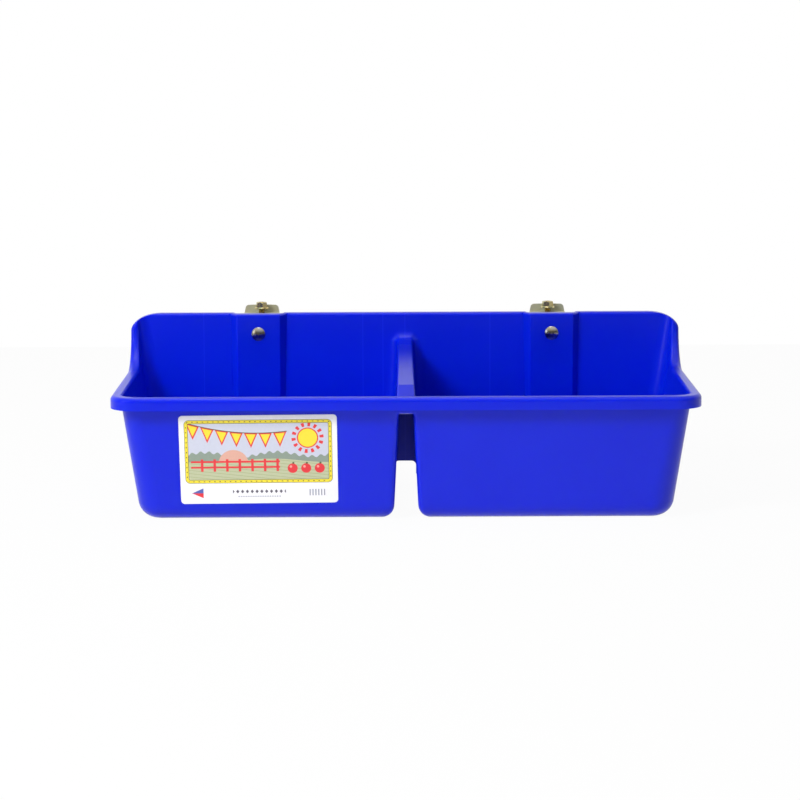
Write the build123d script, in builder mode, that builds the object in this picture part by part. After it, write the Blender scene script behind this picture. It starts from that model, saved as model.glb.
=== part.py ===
from build123d import *
from math import cos, radians, sin, tan
import os

os.makedirs("parts", exist_ok=True)

# Trough: overall sizes in mm
length = 610.0  # over the rim, left to right
depth = 275.0  # over the rim, front to back
front_height = 133.0  # floor to the top of the front and side rim
back_height = 189.5  # floor to the top of the back rim
wall = 3.0  # moulding thickness

# Rim
overhang = 11.0  # front and back rim edge to the outer face of the wall below
side_overhang = 9.3  # the same at the two ends
skirt_drop = 13.0  # rim top to the lower edge of the skirt
rim_corner_r = 29.0  # front corners of the rim, seen from above
rim_back_corner_r = 14.0  # back corners of the rim, seen from above
rim_edge_r = 4.5  # rounding of the outer rim edge
rim_lip_r = 3.0  # rounding from the rim top into the trough
crown_w = 33.0  # width of the rounding at each end of the back rim
crown_h = 18.0  # height of the same rounding
rise_top_r = 10.0  # convex end of the rise from side rim to back rim
rise_gap = 0.6  # from the end of that rise to the inside of the back wall

# Walls and floor
side_draft = 7.5  # degrees from vertical
front_draft = 8.8
back_draft = 2.0
corner_floor_r = 26.0  # upright corners, at floor level
corner_top_r = 17.0  # the same corners, at the level of the back rim
floor_r = 20.0  # outside rounding between floor and walls

# Divider and the open channel under it
ridge_front_z = 112.0
ridge_kink_z = 138.0
ridge_back_z = 156.5
ridge_end_rise = 8.0  # ramp at the back end of the ridge
ridge_end_run = 24.0
ridge_kink_in = 60.0  # kink of the ridge, behind the front rim edge
ridge_edge_r = 2.5
divider_half = 15.6  # half width at floor level
divider_taper = 0.047  # narrowing of the half width per mm of height
channel_half = 13.1
channel_taper = 0.049
channel_edge_r = 1.5
foot_r = 16.0  # rounding along the channel's lower edges
channel_mouth_r = 5.0  # rounding where the channel opens in the front wall
arch_w = 24.0  # opening in the back wall at the end of the channel
arch_h = 23.0
arch_r = 5.0
flare_r = 10.0  # blend between divider and back wall
divider_foot_r = 3.0  # blend between divider and front wall

# Pilasters: bosses inside, hollow behind, that seat the brackets
bracket_x = 163.2  # centre of each bracket from the middle of the trough
boss_face_w = 48.0
boss_base_w = 62.8
boss_depth = 11.0
boss_edge_r = 2.0
boss_top_r = 2.0
recess_face_w = 44.8
recess_base_w = 59.6
notch_w = 50.0  # gap in the outer rim behind each boss
notch_depth = 9.0
notch_r = 4.0

# Brackets and hooks, bent from steel strip
plate = 2.5
bend_r = 2.0  # inside radius of each bend
bracket_w = 40.6
bracket_drop = 7.5  # back rim top to the top of the horizontal leg
bracket_leg = 50.0  # length of the upright leg in the recess
end_rise = 0.8  # upturned end above the back rim
end_top_w = 36.5
end_corner_r = 4.0
end_bow = 0.5  # rise of the middle of the upturned end over its corners
opening = 40.0  # back rim edge to hook, fully open
hook_travel = 25.0
clamp_in = 13.0  # hook face to clamp bolt axis
end_in = 10.0  # clamp bolt axis to the upturned end
hook_w = 38.0
hook_leg = 62.0
hook_corner_r = 6.0
slide_gap = 0.1  # between bracket and hook plates

# Quarter inch carriage bolts, nuts and washers
shank_d = 6.35
clear_d = 7.0  # holes and slots for the shank
neck_w = 6.3  # square neck under the head
neck_hole_w = 6.7
neck_h = 2.4
head_d = 15.1
head_h = 3.4
head_rim = 0.6  # straight edge of the domed head
panel_bolt_drop = 22.0  # back rim top to the panel bolt axis
nut_af = 11.1  # across flats
nut_h = 5.6
nut_chamfer = 0.8
nut_turn = 43.0  # degrees, as the nuts happen to stand
washer_d = 16.0
washer_h = 1.7
washer_chamfer = 0.7
bolt_chamfer = 0.6
bolt_past = 1.5  # panel bolt end beyond its nut
clamp_past = 0.4  # clamp bolt end beyond its nut at rest
clamp_seat_drop = 2.5  # back rim top to the underside of the raised clamp washer
running_gap = 0.05  # radial gap of the clamp nut and washer on the bolt

# Label on the front wall
label_w = 163.0
label_h = 96.0
label_t = 0.4
label_r = 4.0
label_x = -length / 4
label_turn = 0.4  # degrees, as the sheet was stuck on
label_z = 66.2

# Places that follow from the sizes above
reach = opening + clamp_in + end_in + plate
front_y = -(depth + reach) / 2
back_y = front_y + depth
middle_y = (front_y + back_y) / 2
boss_y = back_y - overhang - wall - boss_depth
recess_y = boss_y + wall
hook_y = back_y + opening
clamp_y = hook_y + clamp_in
end_y = clamp_y + end_in
rise_r = back_height - front_height - rise_top_r
rise_y = back_y - overhang - wall - rise_gap - rise_top_r - rise_r
channel_end_gap = wall + back_height * tan(radians(back_draft))
leg_top = back_height - bracket_drop
leg_low = leg_top - plate
hook_top = leg_low - slide_gap
panel_bolt_z = back_height - panel_bolt_drop
beyond = 60.0  # how far cutting shapes run past the trough
slip = 0.1  # keeps a rounded surface from ending exactly in a flat one
near = 0.3  # how closely an edge is looked for at a known place
sides = {"left": -bracket_x, "right": bracket_x}


def tub_section(z, inset, corner_r):
    """Outline of the drafted walls at height z, inset by a thickness."""
    lean = front_height - z
    side_in = side_overhang + inset + lean * tan(radians(side_draft))
    front_in = overhang + inset + lean * tan(radians(front_draft))
    back_in = overhang + inset + (back_height - z) * tan(radians(back_draft))
    with BuildSketch(Plane.XY.offset(z)) as outline:
        with Locations((0, middle_y + (front_in - back_in) / 2)):
            RectangleRounded(length - 2 * side_in, depth - front_in - back_in, corner_r)
    return outline.sketch


def tub(inset, floor_z, round_r):
    """Solid bounded by the walls and the rounded floor."""
    top_z = back_height + 2
    with BuildPart() as body:
        loft(
            [
                tub_section(floor_z, inset, corner_floor_r - inset),
                tub_section(top_z, inset, corner_top_r - inset),
            ],
            ruled=True,
        )
        if round_r > 0:
            fillet(body.faces().sort_by(Axis.Z)[0].edges(), round_r)
    return body.part


def side_outline(drop):
    """Everything under the rim, seen from the side, with the rim lowered by drop."""
    start = (rise_y, front_height)
    face = (rise_y + rise_r, front_height + rise_r)
    top = (face[0] + rise_top_r, back_height)
    low_z = -beyond
    with BuildSketch(Plane.YZ) as outline:
        with BuildLine():
            Line((front_y - beyond, front_height), start)
            RadiusArc(start, face, -rise_r)
            RadiusArc(face, top, rise_top_r)
            Polyline(
                top,
                (back_y + beyond, back_height),
                (back_y + beyond, low_z),
                (front_y - beyond, low_z),
                (front_y - beyond, front_height),
            )
        make_face()
        if drop > 0:
            offset(amount=-drop, mode=Mode.REPLACE)
    return outline.sketch


def front_outline(drop, inset):
    """The trough seen from the front: straight sides and rounded upper ends."""
    half = length / 2 - inset + slip
    end_x = half - crown_w
    top = back_height - drop
    low_z = -beyond
    with BuildSketch(Plane.XZ) as outline:
        with BuildLine():
            EllipticalCenterArc(
                (end_x, top - crown_h), crown_w, crown_h, start_angle=0, arc_size=90
            )
            Line((end_x, top), (-end_x, top))
            EllipticalCenterArc(
                (-end_x, top - crown_h), crown_w, crown_h, start_angle=90, arc_size=90
            )
            Polyline((-half, top - crown_h), (-half, low_z), (half, low_z), (half, top - crown_h))
        make_face()
    return outline.sketch


def rim_plan(inset):
    """Outline of the rim from above, with a gap behind each boss."""
    with BuildSketch() as outline:
        with Locations((0, middle_y)):
            Rectangle(length + 2 * slip, depth)
        fillet(outline.vertices().group_by(Axis.Y)[0], rim_corner_r)
        fillet(outline.vertices().group_by(Axis.Y)[-1], rim_back_corner_r)
        with Locations([(x, back_y) for x in sides.values()]):
            Rectangle(notch_w, 2 * notch_depth, mode=Mode.SUBTRACT)
        notch_corners = outline.vertices().filter_by(
            lambda v: abs(abs(v.X) - bracket_x) < notch_w / 2 + near
        )
        fillet(notch_corners, notch_r)
        if inset > 0:
            offset(amount=-inset, mode=Mode.REPLACE)
    return outline.sketch


def rim_block(inset, edge_r):
    """Solid under the rim's surfaces, inset by a thickness, with its top edge rounded."""
    with BuildPart() as block:
        extrude(rim_plan(inset), amount=back_height + beyond, both=True)
        extrude(side_outline(inset), amount=length, both=True, mode=Mode.INTERSECT)
        extrude(front_outline(inset, inset), amount=2 * depth, both=True, mode=Mode.INTERSECT)
        level = front_height - inset
        front_edges = block.edges().filter_by(
            lambda e: abs((e @ 0.5).Z - level) < near and (e @ 0.5).Y < rise_y - near
        )
        fillet(front_edges, edge_r)
        top_edges = block.edges().filter_by(
            lambda e: (e @ 0.5).Z > back_height - crown_h / 2
            and (e @ 0.5).Y > back_y - inset - near
        )
        fillet(top_edges, edge_r)
        with BuildSketch():
            Rectangle(length - 2 * inset, 2 * depth)
        extrude(amount=back_height, both=True, mode=Mode.INTERSECT)
    return block.part


def under_skirt():
    """Everything below the lower edge of the skirt, out past the rim."""
    with BuildPart() as space:
        extrude(side_outline(skirt_drop), amount=length, both=True)
        extrude(front_outline(skirt_drop, -wall), amount=2 * depth, both=True, mode=Mode.INTERSECT)
    return space.part


def pilaster(face_y, face_w, base_w, top_z):
    """Upright trapezoid column from its face back through the wall."""
    base_y = back_y - overhang + face_y - recess_y
    slope = (base_w - face_w) / 2 / (base_y - face_y)
    end_w = base_w + 2 * slope * overhang
    with BuildPart() as column:
        with BuildSketch():
            for x in sides.values():
                with BuildLine():
                    Polyline(
                        (x - face_w / 2, face_y),
                        (x + face_w / 2, face_y),
                        (x + end_w / 2, base_y + overhang),
                        (x - end_w / 2, base_y + overhang),
                        close=True,
                    )
                make_face()
        extrude(amount=top_z)
    return column.part


def wedge(half, taper, drop, edge_r, foot_z, foot_r, end_gap=0.0):
    """Tapered wedge under the ridge line, lowered by drop, that may flare out onto foot_z."""
    near_y = front_y
    kink_y = front_y + ridge_kink_in
    ramp_y = back_y - overhang - ridge_end_run
    wall_y = back_y - overhang - end_gap
    end_z = ridge_back_z + ridge_end_rise * (1 - end_gap / ridge_end_run) - drop
    slope = (ridge_kink_z - ridge_front_z) / (ridge_kink_in - overhang)
    near_z = ridge_front_z - slope * overhang - drop
    low_z = -2 * wall
    top_z = back_height
    foot_half = half - taper * foot_z
    with BuildPart() as body:
        with BuildSketch(Plane.YZ):
            with BuildLine():
                Polyline(
                    (near_y, low_z),
                    (near_y, near_z),
                    (kink_y, ridge_kink_z - drop),
                    (ramp_y, ridge_back_z - drop),
                    (wall_y, end_z),
                    (wall_y, low_z),
                    close=True,
                )
            make_face()
        extrude(amount=4 * divider_half, both=True)
        with BuildSketch(Plane.XZ) as across:
            with BuildLine():
                Polyline(
                    (-foot_half, foot_z),
                    (foot_half, foot_z),
                    (half - taper * top_z, top_z),
                    (-half + taper * top_z, top_z),
                    close=True,
                )
            make_face()
            with Locations((0, (foot_z + low_z) / 2)):
                Rectangle(2 * (foot_half + foot_r) + wall, foot_z - low_z)
            if foot_r > 0:
                corners = across.vertices().filter_by(
                    lambda v: abs(v.Y - foot_z) < slip / 2 and abs(abs(v.X) - foot_half) < slip / 2
                )
                fillet(corners, foot_r)
        extrude(amount=2 * depth, both=True, mode=Mode.INTERSECT)
        crest = body.edges().filter_by(
            lambda e: abs(e.center().X) > near
            and e.center().Z > near_z
            and abs(e.tangent_at(0.5).Z) < cos(radians(45))
        )
        fillet(crest, edge_r)
    return body.part


def divider_edges(body):
    """Edges where the divider meets the front and back walls."""
    wall_faces = [front_y + overhang + wall, back_y - overhang - wall]
    return body.edges().filter_by(
        lambda e: abs(e.center().X) < divider_half
        and e.center().Z > floor_r
        and abs(e.tangent_at(0.5).Y) < cos(radians(45))
        and e.length < back_height
        and min(abs(e.center().Y - y) for y in wall_faces) < overhang + wall
    )


# The space inside the trough, with the bosses and the divider left standing in it
with BuildPart() as hollow:
    add(tub(wall, wall, 0))
    add(wedge(divider_half, divider_taper, 0, ridge_edge_r, 0, 0), mode=Mode.SUBTRACT)
    fillet(divider_edges(hollow).filter_by(lambda e: e.center().Y > middle_y), flare_r)
    fillet(divider_edges(hollow).filter_by(lambda e: e.center().Y < middle_y), divider_foot_r)
    add(tub(wall, wall, floor_r - wall), mode=Mode.INTERSECT)
    inner_half = divider_half - slip
    add(
        wedge(inner_half, divider_taper, slip, ridge_edge_r, wall - slip, foot_r - wall),
        mode=Mode.SUBTRACT,
    )
    add(pilaster(boss_y, boss_face_w, boss_base_w, back_height + beyond), mode=Mode.SUBTRACT)
    boss_edges = hollow.edges().filter_by(
        lambda e: abs(e.center().Y - boss_y) < near and e.length > front_height
    )
    fillet(boss_edges, boss_edge_r)

# Bosses and divider as solids that reach halfway into the walls around them
with BuildPart() as inserts:
    with BuildSketch():
        with Locations([(x, back_y - overhang) for x in sides.values()]):
            Rectangle(boss_base_w + wall, 4 * floor_r)
    extrude(amount=back_height)
    with BuildSketch():
        with Locations((0, middle_y)):
            Rectangle(2 * divider_half + 4 * flare_r, depth)
    extrude(amount=front_height - 2 * rim_lip_r)
    with BuildSketch():
        with Locations((0, front_y + ridge_kink_in / 2)):
            Rectangle(2 * divider_half + 4 * flare_r, depth, align=(Align.CENTER, Align.MIN))
    extrude(amount=back_height - 2 * rim_lip_r)
    add(tub(wall / 2, wall / 2, floor_r - wall / 2), mode=Mode.INTERSECT)
    add(hollow.part, mode=Mode.SUBTRACT)
    boss_tops = inserts.edges().filter_by(
        lambda e: abs((e @ 0.5).Z - back_height) < near
        and (e @ 0.5).Y < back_y - overhang - wall - near
    )
    fillet(boss_tops, boss_top_r)

# The space around the walls, under the rim and its skirt
with BuildPart() as outside:
    add(rim_block(wall, rim_edge_r - wall))
    add(under_skirt())
    add(tub(0, -slip, floor_r), mode=Mode.SUBTRACT)

with BuildPart() as trough:
    # Block with the stepped top and the space inside, its lip rounded all the way round
    extrude(side_outline(0), amount=length / 2 + beyond, both=True)
    add(tub(wall, wall, floor_r - wall), mode=Mode.SUBTRACT)
    lip_half = length / 2 - side_overhang - wall + near
    lip = trough.edges().filter_by(
        lambda e: abs((e @ 0.5).Z - front_height) < near
        and abs((e @ 0.5).X) < lip_half
        and front_y + overhang < (e @ 0.5).Y < rise_y - near
    )
    fillet(lip, rim_lip_r)
    add(rim_block(0, rim_edge_r), mode=Mode.INTERSECT)
    add(outside.part, mode=Mode.SUBTRACT)
    add(inserts.part)
    add(pilaster(recess_y, recess_face_w, recess_base_w, back_height - wall), mode=Mode.SUBTRACT)
    # Open channel under the divider, and the arch where it meets the back wall
    add(
        wedge(channel_half, channel_taper, wall, channel_edge_r, -slip, foot_r, channel_end_gap),
        mode=Mode.SUBTRACT,
    )
    mouth = trough.edges().filter_by(
        lambda e: abs(abs((e @ 0.5).X) - channel_half + channel_taper * (e @ 0.5).Z) < near
        and (e @ 0.5).Y < front_y + 2 * floor_r
        and (e @ 0.5).Z > floor_r
    )
    fillet(mouth, channel_mouth_r)
    # Underside cut flat, a little above where the rounded surfaces run out
    with BuildSketch():
        Rectangle(2 * length, 2 * depth)
    extrude(amount=-beyond, mode=Mode.SUBTRACT)
    with BuildSketch(Plane.XZ.offset(-back_y)):
        RectangleRounded(arch_w, 2 * arch_h, arch_r)
    extrude(amount=overhang + floor_r, mode=Mode.SUBTRACT)
    for x in sides.values():
        # Way for the bracket's horizontal leg under the rim
        with BuildSketch(Plane.XZ.offset(-back_y - wall)):
            with Locations((x, back_height - (skirt_drop + wall) / 2)):
                Rectangle(recess_face_w, skirt_drop - wall + 2 * near)
        extrude(amount=back_y + wall - recess_y, mode=Mode.SUBTRACT)
        # Square hole for the neck of the panel bolt
        with BuildSketch(Plane.XZ.offset(-recess_y - wall)):
            with Locations((x, panel_bolt_z)):
                Rectangle(neck_hole_w, neck_hole_w)
        extrude(amount=3 * wall, mode=Mode.SUBTRACT)
trough.part.label = "trough"
export_step(trough.part, "parts/trough.step")

# Label: a thin sheet on the sloping front wall
lean = radians(front_draft)
label_y = front_y + overhang + (front_height - label_z) * tan(lean)
label_plane = Plane(
    origin=(label_x, label_y, label_z), x_dir=(1, 0, 0), z_dir=(0, -cos(lean), -sin(lean))
)
with BuildPart() as label:
    with BuildSketch(label_plane):
        RectangleRounded(label_w, label_h, label_r, rotation=label_turn)
    extrude(amount=label_t)
label.part.label = "label"
export_step(label.part, "parts/label.step")


def carriage_bolt(neck, grip):
    """Bolt along +Z: domed head below z = 0, square neck and shank above it."""
    rise = head_h - head_rim
    dome_r = ((head_d / 2) ** 2 + rise**2) / (2 * rise)
    with BuildPart() as bolt:
        with BuildSketch(Plane.XZ):
            with BuildLine():
                Line((0, -head_h), (0, 0))
                Line((0, 0), (head_d / 2, 0))
                Line((head_d / 2, 0), (head_d / 2, -head_rim))
                RadiusArc((head_d / 2, -head_rim), (0, -head_h), dome_r)
            make_face()
        revolve(axis=Axis.Z)
        with BuildSketch():
            Rectangle(neck_w, neck_w)
        extrude(amount=neck)
        with BuildSketch():
            Circle(shank_d / 2)
        extrude(amount=grip)
        chamfer(bolt.edges().sort_by(Axis.Z)[-1], bolt_chamfer)
    return bolt.part


def hex_nut(bore_d):
    """Nut standing on z = 0 with its upper corners turned off."""
    corner_d = nut_af / cos(radians(30))
    with BuildPart() as nut:
        with BuildSketch():
            RegularPolygon(nut_af / 2, 6, major_radius=False, rotation=nut_turn)
        extrude(amount=nut_h)
        with BuildSketch(Plane.XZ):
            with BuildLine():
                Polyline(
                    (0, 0),
                    (corner_d / 2, 0),
                    (corner_d / 2, nut_h - nut_chamfer),
                    (nut_af / 2, nut_h),
                    (0, nut_h),
                    close=True,
                )
            make_face()
        revolve(axis=Axis.Z, mode=Mode.INTERSECT)
        Hole(bore_d / 2)
    return nut.part


def washer(bore_d):
    """Round washer standing on z = 0, bevelled on top."""
    with BuildPart() as ring:
        Cylinder(washer_d / 2, washer_h, align=(Align.CENTER, Align.CENTER, Align.MIN))
        chamfer(ring.edges().group_by(Axis.Z)[-1], washer_chamfer)
        Hole(bore_d / 2)
    return ring.part


strip_r = bend_r + plate  # outside radius of each bend
panel_grip = wall + plate + washer_h + nut_h + bolt_past
clamp_base = hook_top - plate  # underside of the hook, where the bolt head sits
clamp_seat = back_height - clamp_seat_drop  # underside of the raised clamp washer
clamp_grip = clamp_seat + washer_h + nut_h + clamp_past - clamp_base
running_d = shank_d + 2 * running_gap

for side, x in sides.items():
    # Bracket: leg in the recess, leg over the fence board, upturned end
    with BuildPart() as bracket:
        with BuildSketch(Plane.YZ.offset(x)) as bend:
            with BuildLine():
                Polyline(
                    (recess_y, leg_top - bracket_leg),
                    (recess_y, leg_top),
                    (end_y, leg_top),
                    (end_y, back_height + end_rise),
                    (end_y + plate, back_height + end_rise),
                    (end_y + plate, leg_low),
                    (recess_y + plate, leg_low),
                    (recess_y + plate, leg_top - bracket_leg),
                    close=True,
                )
            make_face()
            outer = bend.vertices().filter_by(
                lambda v: (v.X < recess_y + near and v.Y > leg_low)
                or (v.X > end_y + near and v.Y < leg_top)
            )
            inner = bend.vertices().filter_by(
                lambda v: (recess_y + near < v.X < hook_y and v.Y > leg_low - near)
                or (hook_y < v.X < end_y + near and v.Y < leg_top + near)
            )
            fillet(outer, strip_r)
            fillet(inner, bend_r)
        extrude(amount=bracket_w / 2, both=True)
        # Outline from behind: the upturned end narrows and has a bowed, rounded top
        with BuildSketch(Plane.XZ.offset(-recess_y)) as outline:
            low = leg_top - bracket_leg
            top = back_height + end_rise
            with BuildLine():
                Polyline(
                    (x - end_top_w / 2, top - end_bow),
                    (x - bracket_w / 2, leg_low),
                    (x - bracket_w / 2, low),
                    (x + bracket_w / 2, low),
                    (x + bracket_w / 2, leg_low),
                    (x + end_top_w / 2, top - end_bow),
                )
                ThreePointArc(
                    (x + end_top_w / 2, top - end_bow), (x, top), (x - end_top_w / 2, top - end_bow)
                )
            make_face()
            fillet(outline.vertices().filter_by(lambda v: v.Y > leg_top), end_corner_r)
            fillet(outline.vertices().filter_by(lambda v: v.Y < low + near), hook_corner_r)
        extrude(amount=2 * depth, both=True, mode=Mode.INTERSECT)
        with BuildSketch(Plane.XY.offset(leg_low)):
            with Locations(Location((x, clamp_y - hook_travel / 2), 90)):
                SlotCenterToCenter(hook_travel, clear_d)
        extrude(amount=plate, mode=Mode.SUBTRACT)
        with BuildSketch(Plane.XZ.offset(-recess_y)):
            with Locations((x, panel_bolt_z)):
                Circle(clear_d / 2)
        extrude(amount=-plate, mode=Mode.SUBTRACT)
    bracket.part.label = f"bracket_{side}"
    export_step(bracket.part, f"parts/bracket_{side}.step")

    # Hook: slides under the bracket and hangs down behind the fence board
    with BuildPart() as hook:
        with BuildSketch(Plane.YZ.offset(x)) as bend:
            with BuildLine():
                Polyline(
                    (hook_y, hook_top - hook_leg),
                    (hook_y, hook_top),
                    (end_y, hook_top),
                    (end_y, hook_top - plate),
                    (hook_y + plate, hook_top - plate),
                    (hook_y + plate, hook_top - hook_leg),
                    close=True,
                )
            make_face()
            fillet(bend.vertices().sort_by_distance((hook_y, hook_top))[0], strip_r)
            fillet(
                bend.vertices().sort_by_distance((hook_y + plate, hook_top - plate))[0], bend_r
            )
        extrude(amount=hook_w / 2, both=True)
        low_edges = hook.edges().filter_by(Axis.Y).group_by(Axis.Z)[0]
        fillet(low_edges, hook_corner_r)
        end_edges = hook.edges().filter_by(Axis.Z).group_by(Axis.Y)[-1]
        fillet(end_edges, end_corner_r)
        with BuildSketch(Plane.XY.offset(clamp_base)):
            with Locations((x, clamp_y)):
                Rectangle(neck_hole_w, neck_hole_w)
        extrude(amount=plate, mode=Mode.SUBTRACT)
    hook.part.label = f"hook_{side}"
    export_step(hook.part, f"parts/hook_{side}.step")

    # Panel bolt through the boss and the bracket, with its washer and nut behind
    facing_back = (-90, 0, 0)
    with BuildPart() as panel_bolt:
        with Locations(Location((x, boss_y, panel_bolt_z), facing_back)):
            add(carriage_bolt(neck_h, panel_grip))
    panel_bolt.part.label = f"panel_bolt_{side}"
    export_step(panel_bolt.part, f"parts/panel_bolt_{side}.step")
    with BuildPart() as panel_washer:
        with Locations(Location((x, recess_y + plate, panel_bolt_z), facing_back)):
            add(washer(clear_d))
    panel_washer.part.label = f"panel_washer_{side}"
    export_step(panel_washer.part, f"parts/panel_washer_{side}.step")
    with BuildPart() as panel_nut:
        with Locations(Location((x, recess_y + plate + washer_h, panel_bolt_z), facing_back)):
            add(hex_nut(running_d))
    panel_nut.part.label = f"panel_nut_{side}"
    export_step(panel_nut.part, f"parts/panel_nut_{side}.step")

    # Clamp bolt up through hook and bracket, with its washer and nut run up
    with BuildPart() as clamp_bolt:
        with Locations((x, clamp_y, clamp_base)):
            add(carriage_bolt(neck_h, clamp_grip))
    clamp_bolt.part.label = f"clamp_bolt_{side}"
    export_step(clamp_bolt.part, f"parts/clamp_bolt_{side}.step")
    with BuildPart() as clamp_washer:
        with Locations((x, clamp_y, clamp_seat)):
            add(washer(running_d))
    clamp_washer.part.label = f"clamp_washer_{side}"
    export_step(clamp_washer.part, f"parts/clamp_washer_{side}.step")
    with BuildPart() as clamp_nut:
        with Locations((x, clamp_y, clamp_seat + washer_h)):
            add(hex_nut(running_d))
    clamp_nut.part.label = f"clamp_nut_{side}"
    export_step(clamp_nut.part, f"parts/clamp_nut_{side}.step")
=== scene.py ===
import math
import bmesh
import bpy
from mathutils import Matrix, Vector

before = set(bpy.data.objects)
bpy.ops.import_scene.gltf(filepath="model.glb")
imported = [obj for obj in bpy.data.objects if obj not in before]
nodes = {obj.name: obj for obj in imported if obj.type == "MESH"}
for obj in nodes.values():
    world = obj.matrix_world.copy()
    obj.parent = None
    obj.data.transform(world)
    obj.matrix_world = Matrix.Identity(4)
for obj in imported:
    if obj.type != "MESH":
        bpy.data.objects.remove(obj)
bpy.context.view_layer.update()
sides = ("left", "right")
white_light = (1, 1, 1, 1)

# Table. The trough stands on a plain white table top, which shows white to the camera and in
# reflections, and keeps the soft contact shadow of the trough.
table_half = 1.25
table_drop = 0.0005  # below the underside of the trough
table_whiteness = 0.96
table_mesh = bpy.data.meshes.new("table_top")
bm = bmesh.new()
bmesh.ops.create_grid(bm, x_segments=1, y_segments=1, size=table_half)
bmesh.ops.translate(bm, verts=bm.verts, vec=(0, 0, -table_drop))
bm.to_mesh(table_mesh)
bm.free()
table_top = bpy.data.objects.new("table_top", table_mesh)
bpy.context.scene.collection.objects.link(table_top)


def calc(operation, *values):
    """One step of arithmetic in the node tree being built, on sockets or plain numbers."""
    step = tree.nodes.new("ShaderNodeMath")
    step.operation = operation
    for socket, value in zip(step.inputs, values):
        if isinstance(value, (int, float)):
            socket.default_value = value
        else:
            tree.links.new(value, socket)
    return step.outputs["Value"]


def mix_shaders(share, first, second):
    """Two shaders blended by a share of the second."""
    blend = tree.nodes.new("ShaderNodeMixShader")
    tree.links.new(share, blend.inputs["Fac"])
    tree.links.new(first, blend.inputs[1])
    tree.links.new(second, blend.inputs[2])
    return blend.outputs["Shader"]


table_white = bpy.data.materials.new("table_white")
table_white.use_nodes = True
tree = table_white.node_tree
paint = tree.nodes["Principled BSDF"]
paint.inputs["Base Color"].default_value = (0.82, 0.82, 0.82, 1)
paint.inputs["Roughness"].default_value = 0.9
glow = tree.nodes.new("ShaderNodeEmission")
glow.inputs["Color"].default_value = white_light
glow.inputs["Strength"].default_value = 1.0
ray = tree.nodes.new("ShaderNodeLightPath")
seen = calc("MAXIMUM", ray.outputs["Is Camera Ray"], ray.outputs["Is Glossy Ray"])
white_share = calc("MULTIPLY", seen, table_whiteness)
top = mix_shaders(white_share, paint.outputs["BSDF"], glow.outputs["Emission"])
tree.links.new(top, tree.nodes["Material Output"].inputs["Surface"])
table_mesh.materials.append(table_white)

# Room. White to the camera all round. Reflections see a white wall behind the trough, a white
# ceiling and a dim room in front of it. The rest of its light is even and soft.
room_light = 0.17
mirrored_dim = 0.08
mirrored_wall = 1.0
mirrored_ceiling = 0.9
wall_from, wall_to = -0.35, 0.35  # front to back, as the Y of a direction
ceiling_from, ceiling_to = 0.2, 0.75  # upwards, as the Z of a direction
world = bpy.data.worlds.new("studio_room")
bpy.context.scene.world = world
world.use_nodes = True
tree = world.node_tree
room = tree.nodes["Background"]
room.inputs["Color"].default_value = white_light
room.inputs["Strength"].default_value = room_light
backdrop = tree.nodes.new("ShaderNodeBackground")
backdrop.inputs["Color"].default_value = white_light
backdrop.inputs["Strength"].default_value = 1.0
mirrored = tree.nodes.new("ShaderNodeBackground")
mirrored.inputs["Color"].default_value = white_light
way = tree.nodes.new("ShaderNodeTexCoord")
parts = tree.nodes.new("ShaderNodeSeparateXYZ")
tree.links.new(way.outputs["Generated"], parts.inputs["Vector"])


def spread(value, low, high, start=0.0, end=1.0):
    """A value that runs from start to end, carried over to low to high."""
    carried = tree.nodes.new("ShaderNodeMapRange")
    carried.inputs["From Min"].default_value = start
    carried.inputs["From Max"].default_value = end
    carried.inputs["To Min"].default_value = low
    carried.inputs["To Max"].default_value = high
    tree.links.new(value, carried.inputs["Value"])
    return carried.outputs["Result"]


wall = spread(parts.outputs["Y"], mirrored_dim, mirrored_wall, wall_from, wall_to)
ceiling = spread(parts.outputs["Z"], mirrored_dim, mirrored_ceiling, ceiling_from, ceiling_to)
tree.links.new(calc("MAXIMUM", wall, ceiling), mirrored.inputs["Strength"])
ray = tree.nodes.new("ShaderNodeLightPath")
shine = calc("MAXIMUM", ray.outputs["Is Glossy Ray"], ray.outputs["Is Transmission Ray"])
lit = mix_shaders(shine, room.outputs["Background"], mirrored.outputs["Background"])
shown = mix_shaders(ray.outputs["Is Camera Ray"], lit, backdrop.outputs["Background"])
tree.links.new(shown, tree.nodes["World Output"].inputs["Surface"])

# Lamps. Four soft boxes: the main one high on the left, a low one in front, and weak ones left
# and overhead. Only the weak ones show in reflections, as gleams on the edges.
lamp_aim = (0, 0, 0.1)


def softbox(name, place, size, watts, gleams=False):
    """A rectangular lamp turned towards the trough."""
    lamp = bpy.data.lights.new(name, "AREA")
    lamp.shape = "RECTANGLE"
    lamp.size, lamp.size_y = size
    lamp.energy = watts
    holder = bpy.data.objects.new(name, lamp)
    holder.location = place
    heading = Vector(lamp_aim) - Vector(place)
    holder.rotation_euler = heading.to_track_quat("-Z", "Y").to_euler()
    holder.visible_glossy = gleams
    bpy.context.scene.collection.objects.link(holder)


softbox("softbox_high", (-1.5, -1.8, 1.75), (0.8, 0.8), 66)
softbox("softbox_front", (-0.1, -3.0, 0.42), (0.9, 0.7), 15)
softbox("softbox_left", (-2.1, -1.2, 0.8), (0.8, 1.2), 6, gleams=True)
softbox("softbox_top", (-0.2, -0.1, 2.1), (1.2, 0.9), 8, gleams=True)

bpy.context.scene.view_settings.view_transform = "Standard"

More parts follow.
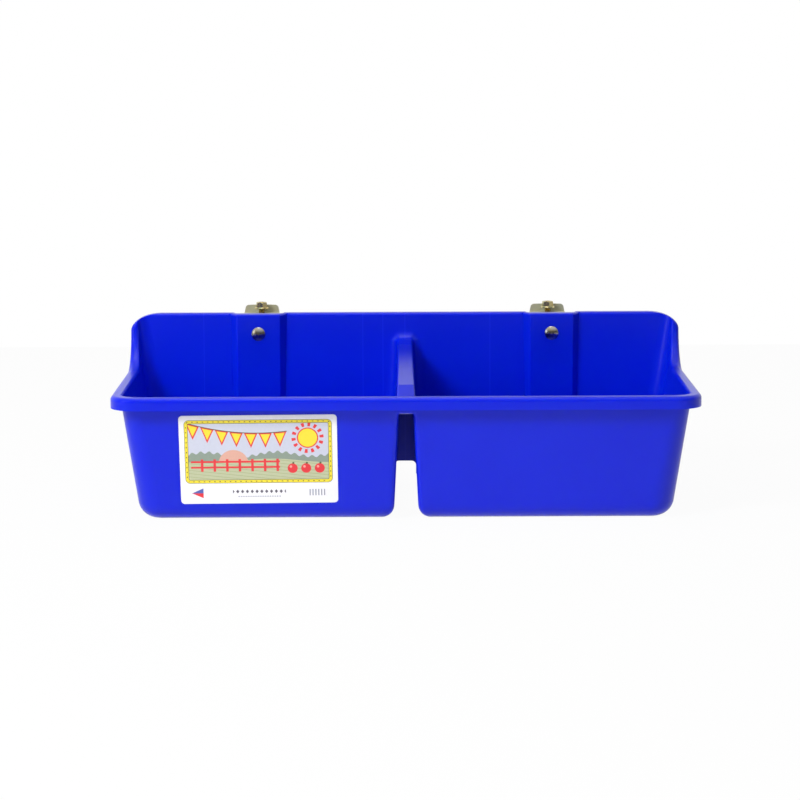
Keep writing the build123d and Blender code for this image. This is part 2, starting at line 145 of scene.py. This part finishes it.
# Camera. Low in front of the trough and far back. Its place, angles and focal length were
# fitted to the outline of the trough.
picture_width_px = 800
focal_length_px = 2627.3
sensor_width = 36.0
pitch, yaw, roll = 0.1517, -0.0020, -0.0036
view = bpy.data.cameras.new("camera")
camera = bpy.data.objects.new("camera", view)
bpy.context.scene.collection.objects.link(camera)
bpy.context.scene.camera = camera
view.sensor_width = sensor_width
view.lens = sensor_width * focal_length_px / picture_width_px
view.clip_end = 100
camera.location = (-0.01158, -2.8231, 0.5364)
turn = Matrix.Rotation(yaw, 4, "Z") @ Matrix.Rotation(math.pi / 2 - pitch, 4, "X")
camera.rotation_euler = (turn @ Matrix.Rotation(roll, 4, "Z")).to_euler()

# Trough. One moulding in glossy blue polyethylene: rim, divider, channel and the pilasters for
# the brackets all belong to it. The mould leaves a faint orange peel, a few thin flow lines
# on the back wall, and slightly cloudy gloss.
flow_lines = (-0.2245, -0.047, -0.0246, 0.0, 0.095)
flow_line_half = 0.0006
flow_line_strength = 0.35
back_wall_from = 0.082


def noise(vector, scale, detail):
    """A noise texture along a vector, in the material being built."""
    grain = tree.nodes.new("ShaderNodeTexNoise")
    grain.inputs["Scale"].default_value = scale
    grain.inputs["Detail"].default_value = detail
    tree.links.new(vector, grain.inputs["Vector"])
    return grain.outputs["Fac"]


def tinted(value, start, first, end, last):
    """A colour that goes from first to last between two values."""
    ramp = tree.nodes.new("ShaderNodeValToRGB")
    ramp.color_ramp.elements[0].position = start
    ramp.color_ramp.elements[0].color = first
    ramp.color_ramp.elements[1].position = end
    ramp.color_ramp.elements[1].color = last
    tree.links.new(value, ramp.inputs["Fac"])
    return ramp


def bumped(height, strength, distance):
    """The normal over a surface that a height raises by up to a distance."""
    dent = tree.nodes.new("ShaderNodeBump")
    dent.inputs["Strength"].default_value = strength
    dent.inputs["Distance"].default_value = distance
    tree.links.new(height, dent.inputs["Height"])
    return dent.outputs["Normal"]


def dress(material, *pieces):
    """A material on every slot of some pieces."""
    for piece in pieces:
        for slot in nodes[piece].material_slots:
            slot.material = material


poly = bpy.data.materials.new("blue_polyethylene")
poly.use_nodes = True
tree = poly.node_tree
skin = tree.nodes["Principled BSDF"]
skin.inputs["IOR"].default_value = 1.5
skin.inputs["Specular IOR Level"].default_value = 0.32
skin.inputs["Subsurface Weight"].default_value = 0.7
skin.inputs["Subsurface Radius"].default_value = (0.1, 0.2, 1.0)
skin.inputs["Subsurface Scale"].default_value = 0.01
place = tree.nodes.new("ShaderNodeTexCoord").outputs["Object"]

# Pigment: a slow drift of the blue over the walls
pigment = tinted(noise(place, 9, 2), 0.0, (0.0005, 0.011, 0.60, 1), 1.0, (0.001, 0.017, 0.68, 1))

# Flow lines: thin upright streaks, a little paler, on the back wall only
spot = tree.nodes.new("ShaderNodeSeparateXYZ")
tree.links.new(place, spot.inputs["Vector"])
streaks = calc("COMPARE", spot.outputs["X"], flow_lines[0], flow_line_half)
for line_x in flow_lines[1:]:
    streaks = calc("ADD", streaks, calc("COMPARE", spot.outputs["X"], line_x, flow_line_half))
at_back = calc("GREATER_THAN", spot.outputs["Y"], back_wall_from)
faint = calc("MULTIPLY", calc("MULTIPLY", streaks, at_back), flow_line_strength)
streaked = tree.nodes.new("ShaderNodeMix")
streaked.data_type = "RGBA"
streaked.inputs["B"].default_value = (0.02, 0.04, 0.8, 1)
tree.links.new(faint, streaked.inputs["Factor"])
tree.links.new(pigment.outputs["Color"], streaked.inputs["A"])
tree.links.new(streaked.outputs["Result"], skin.inputs["Base Color"])

# Gloss in cloudy patches, and orange peel
tree.links.new(spread(noise(place, 75, 4), 0.27, 0.31), skin.inputs["Roughness"])
tree.links.new(bumped(noise(place, 260, 3), 0.022, 0.0006), skin.inputs["Normal"])
dress(poly, "trough")

# Label. A white vinyl sheet stuck on the front wall. The print is a plain country picture in
# a yellow frame: sun, hills, bunting, a red fence and apples, over a white foot with small
# ornaments. Sizes in the print are in mm from the middle of the sheet.
label_centre = (-0.1525, 0, 0.0662)
label_lean = math.radians(8.8)
label_turn = math.radians(0.4)
mm = 0.001
vinyl = bpy.data.materials.new("printed_vinyl")
vinyl.use_nodes = True
tree = vinyl.node_tree
film = tree.nodes["Principled BSDF"]
film.inputs["Roughness"].default_value = 0.32
place = tree.nodes.new("ShaderNodeTexCoord").outputs["Object"]
sheet = tree.nodes.new("ShaderNodeMapping")
sheet.vector_type = "TEXTURE"
sheet.inputs["Location"].default_value = label_centre
sheet.inputs["Rotation"].default_value = (0, -label_turn, 0)
sheet.inputs["Scale"].default_value = (mm, mm, mm * math.cos(label_lean))
tree.links.new(place, sheet.inputs["Vector"])
spot = tree.nodes.new("ShaderNodeSeparateXYZ")
tree.links.new(sheet.outputs["Vector"], spot.inputs["Vector"])
across, up = spot.outputs["X"], spot.outputs["Z"]


def plus(a, b):
    return calc("ADD", a, b)


def minus(a, b):
    return calc("SUBTRACT", a, b)


def times(a, b):
    return calc("MULTIPLY", a, b)


def above(value, limit):
    return calc("GREATER_THAN", value, limit)


def below(value, limit):
    return calc("LESS_THAN", value, limit)


def between(value, low, high):
    return times(above(value, low), below(value, high))


def away(value, middle):
    """Distance of a value from a middle, on either side."""
    return calc("ABSOLUTE", minus(value, middle))


def length_of(a, b):
    return calc("SQRT", plus(times(a, a), times(b, b)))


def from_point(x, z):
    """Distance from a point of the sheet."""
    return length_of(minus(across, x), minus(up, z))


def wave(height, pitch, shift=0.0):
    """A sine wave across the sheet."""
    return times(height, calc("SINE", plus(times(across, pitch), shift)))


def repeat(value, pitch):
    """Distance from the nearest of a row of places one pitch apart."""
    return away(calc("WRAP", value, pitch, 0.0), pitch / 2)


def print_ink(under, colour, mask):
    """One ink over what is already printed."""
    ink = tree.nodes.new("ShaderNodeMix")
    ink.data_type = "RGBA"
    tree.links.new(mask, ink.inputs["Factor"])
    if isinstance(under, tuple):
        ink.inputs["A"].default_value = under
    else:
        tree.links.new(under, ink.inputs["A"])
    ink.inputs["B"].default_value = colour
    return ink.outputs["Result"]


white = (0.89, 0.89, 0.9, 1)
yellow = (0.88, 0.72, 0.04, 1)
red = (0.76, 0.035, 0.045, 1)
olive = (0.10, 0.10, 0.035, 1)
sky = (0.58, 0.60, 0.70, 1)
far_trees = (0.26, 0.32, 0.26, 1)
meadow = (0.50, 0.53, 0.33, 1)
furrow_green = (0.38, 0.43, 0.24, 1)
hay = (0.72, 0.40, 0.31, 1)
apple_gleam = (0.9, 0.35, 0.3, 1)
navy = (0.08, 0.12, 0.42, 1)
ink_black = (0.11, 0.10, 0.13, 1)
ink_grey = (0.34, 0.33, 0.42, 1)
stroke_grey = (0.30, 0.30, 0.36, 1)

# Frame: a rounded band with a dark edge on both sides and a row of dashes
frame_z = 8.6
frame_half_w, frame_half_h, frame_r = 76.2, 34.4, 5.0
dark_edge, band_end, picture_start = 0.5, 3.4, 3.9  # inwards from the outer edge
dash_pitch, dash_half = 5.4, 0.75
qx = calc("MAXIMUM", minus(calc("ABSOLUTE", across), frame_half_w - frame_r), 0.0)
qz = calc("MAXIMUM", minus(away(up, frame_z), frame_half_h - frame_r), 0.0)
edge = minus(frame_r, length_of(qx, qz))
printed = print_ink(white, olive, above(edge, 0.0))
printed = print_ink(printed, yellow, above(edge, dark_edge))
on_side = above(calc("ABSOLUTE", across), frame_half_w - 4.0)
dash_across = times(below(repeat(across, dash_pitch), dash_half), minus(1.0, on_side))
dash_up = times(below(repeat(up, dash_pitch), dash_half), on_side)
dashes = times(calc("MAXIMUM", dash_across, dash_up), between(edge, 1.5, 2.4))
printed = print_ink(printed, olive, dashes)
printed = print_ink(printed, olive, above(edge, band_end))
picture = above(edge, picture_start)
printed = print_ink(printed, sky, picture)

# Hills, trees and a meadow with furrows
tree_tops = plus(plus(5.5, wave(2.6, 0.085)), wave(1.3, 0.71))
printed = print_ink(printed, far_trees, times(picture, below(up, tree_tops)))
field_line = plus(-1.5, wave(2.2, 0.05, 1.0))
field = times(picture, below(up, field_line))
printed = print_ink(printed, meadow, field)
slanted = plus(up, times(across, 0.12))
printed = print_ink(printed, furrow_green, times(field, below(repeat(slanted, 3.6), 0.35)))

# Hay stack: a soft mound on the skyline at the left
mound = times(below(from_point(-26.0, -5.0), 15.5), above(up, -2.5))
printed = print_ink(printed, hay, times(picture, mound))

# Sun with a red ring and rays
sun_x, sun_z = 51.0, 23.0
ray_count = 14.0
sun_far = from_point(sun_x, sun_z)
angle = calc("ARCTAN2", minus(up, sun_z), minus(across, sun_x))
spokes = above(calc("SINE", times(angle, ray_count)), 0.15)
rays = times(spokes, between(sun_far, 12.4, 16.6))
printed = print_ink(printed, red, times(picture, rays))
printed = print_ink(printed, red, times(picture, below(sun_far, 11.0)))
printed = print_ink(printed, yellow, times(picture, below(sun_far, 9.8)))

# Bunting: red flags with yellow middles on a string that sags across the sky
string_z = plus(28.5, times(0.0021, times(across, across)))
flag_room = times(picture, below(across, 29.8))
hang = minus(string_z, up)
point = times(2.3, minus(7.0, repeat(across, 15.0)))
flag = times(flag_room, times(above(hang, 0.0), below(hang, point)))
middle_of_flag = times(above(hang, 1.4), below(hang, minus(point, 3.2)))
printed = print_ink(printed, red, flag)
printed = print_ink(printed, yellow, times(flag, middle_of_flag))
printed = print_ink(printed, olive, times(flag_room, between(hang, -0.5, 0.4)))

# Red fence with two rails, and apples along the meadow
post = times(below(repeat(across, 13.0), 1.3), between(up, -13.0, 0.5))
rails = calc("MAXIMUM", between(up, -3.4, -1.4), between(up, -9.4, -7.4))
fence = times(calc("MAXIMUM", post, rails), between(across, -70.0, 22.0))
printed = print_ink(printed, red, times(picture, fence))
for apple_x in (35.0, 49.0, 63.0):
    printed = print_ink(printed, red, below(from_point(apple_x, -10.0), 5.2))
    printed = print_ink(printed, apple_gleam, below(from_point(apple_x - 1.8, -8.2), 1.3))
    printed = print_ink(printed, olive, below(from_point(apple_x + 0.8, -4.3), 1.1))

# White foot: a pennant in red and blue, a line of diamonds, dots and a short row of strokes
foot_z = -36.5
pennant_x, pennant_end = -70.0, -58.0
pennant_half = times(0.45, minus(across, pennant_x))
pennant = times(between(across, pennant_x, pennant_end), below(away(up, foot_z), pennant_half))
printed = print_ink(printed, red, pennant)
printed = print_ink(printed, navy, times(pennant, above(up, foot_z)))
diamond_far = plus(repeat(across, 5.0), times(0.8, away(up, foot_z + 1.5)))
diamonds = times(below(diamond_far, 1.7), between(across, -27.5, 27.5))
printed = print_ink(printed, ink_black, diamonds)
dots = times(below(repeat(across, 2.5), 0.7), between(up, foot_z - 4.6, foot_z - 3.4))
printed = print_ink(printed, ink_grey, times(dots, between(across, -22.5, 22.5)))
strokes = times(below(repeat(across, 3.0), 0.6), between(up, foot_z - 3.5, foot_z + 3.5))
printed = print_ink(printed, stroke_grey, times(strokes, between(across, 51.0, 69.0)))

# Ink that is a little uneven, and a faint ripple in the film
mottle = noise(place, 420, 3)
inked = tree.nodes.new("ShaderNodeMix")
inked.data_type = "RGBA"
inked.blend_type = "MULTIPLY"
inked.inputs["Factor"].default_value = 1.0
tree.links.new(printed, inked.inputs["A"])
tree.links.new(spread(mottle, 0.96, 1.05), inked.inputs["B"])
tree.links.new(inked.outputs["Result"], film.inputs["Base Color"])
tree.links.new(bumped(mottle, 0.06, 0.0004), film.inputs["Normal"])
dress(vinyl, "label")

# Brackets and hooks. Steel strip, bent, punched and plated with yellow zinc, which leaves a
# dull, slightly greenish sheen with faint brushing.
brush_stretch = 0.06
strip_zinc = bpy.data.materials.new("yellow_zinc_strip")
strip_zinc.use_nodes = True
tree = strip_zinc.node_tree
plate = tree.nodes["Principled BSDF"]
plate.inputs["Metallic"].default_value = 0.55
place = tree.nodes.new("ShaderNodeTexCoord").outputs["Object"]
stretch = tree.nodes.new("ShaderNodeMapping")
stretch.inputs["Scale"].default_value = (1, brush_stretch, brush_stretch)
tree.links.new(place, stretch.inputs["Vector"])
brushing = noise(stretch.outputs["Vector"], 900, 4)
tint = tinted(noise(place, 60, 3), 0.35, (0.62, 0.58, 0.38, 1), 0.65, (0.55, 0.57, 0.43, 1))
tree.links.new(tint.outputs["Color"], plate.inputs["Base Color"])
tree.links.new(spread(brushing, 0.38, 0.56), plate.inputs["Roughness"])
tree.links.new(bumped(brushing, 0.12, 0.0002), plate.inputs["Normal"])
for side in sides:
    dress(strip_zinc, f"bracket_{side}", f"hook_{side}")

# Nuts and washers. Pressed steel with a brighter yellow zinc, iridescent from gold to green
# where the passivation is thicker, with fine marks from the tools.
nut_zinc = bpy.data.materials.new("yellow_zinc_nut")
nut_zinc.use_nodes = True
tree = nut_zinc.node_tree
plate = tree.nodes["Principled BSDF"]
plate.inputs["Metallic"].default_value = 0.92
place = tree.nodes.new("ShaderNodeTexCoord").outputs["Object"]
tint = tinted(noise(place, 150, 2), 0.3, (0.62, 0.47, 0.16, 1), 0.7, (0.28, 0.36, 0.20, 1))
half_way = tint.color_ramp.elements.new(0.5)
half_way.color = (0.60, 0.51, 0.26, 1)
tree.links.new(tint.outputs["Color"], plate.inputs["Base Color"])
marks = noise(place, 1500, 2)
tree.links.new(spread(marks, 0.18, 0.34), plate.inputs["Roughness"])
tree.links.new(bumped(marks, 0.15, 0.0001), plate.inputs["Normal"])
for side in sides:
    dress(nut_zinc, f"panel_washer_{side}", f"panel_nut_{side}")
    dress(nut_zinc, f"clamp_washer_{side}", f"clamp_nut_{side}")

# Carriage bolts. Cold headed and bright plated, with rolled threads on the shank. The thread
# runs along the bolt's own axis: upright in the clamp bolts, front to back in the others.
thread_pitch = 0.00127
thread_bump = 0.0005
bolts = (("panel_bolt", "Y", 0.085, (0.52, 0.44, 0.28, 1), (0.46, 0.47, 0.48, 1)),
         ("clamp_bolt", "Z", 0.1798, (0.66, 0.44, 0.11, 1), (0.42, 0.35, 0.18, 1)))
for piece, axis, thread_start, warm, cool in bolts:
    bright = bpy.data.materials.new(f"bright_zinc_{piece}")
    bright.use_nodes = True
    tree = bright.node_tree
    plate = tree.nodes["Principled BSDF"]
    plate.inputs["Metallic"].default_value = 1.0
    place = tree.nodes.new("ShaderNodeTexCoord").outputs["Object"]
    clouding = noise(place, 220, 3)
    tint = tinted(clouding, 0.35, warm, 0.65, cool)
    tree.links.new(tint.outputs["Color"], plate.inputs["Base Color"])
    tree.links.new(spread(clouding, 0.17, 0.3), plate.inputs["Roughness"])
    thread = tree.nodes.new("ShaderNodeTexWave")
    thread.bands_direction = axis
    thread.inputs["Scale"].default_value = 2 * math.pi / (20 * thread_pitch)
    tree.links.new(place, thread.inputs["Vector"])
    spot = tree.nodes.new("ShaderNodeSeparateXYZ")
    tree.links.new(place, spot.inputs["Vector"])
    on_thread = calc("GREATER_THAN", spot.outputs[axis], thread_start)
    ridges = calc("MULTIPLY", thread.outputs["Fac"], on_thread)
    tree.links.new(bumped(ridges, 1.0, thread_bump), plate.inputs["Normal"])
    for side in sides:
        dress(bright, f"{piece}_{side}")
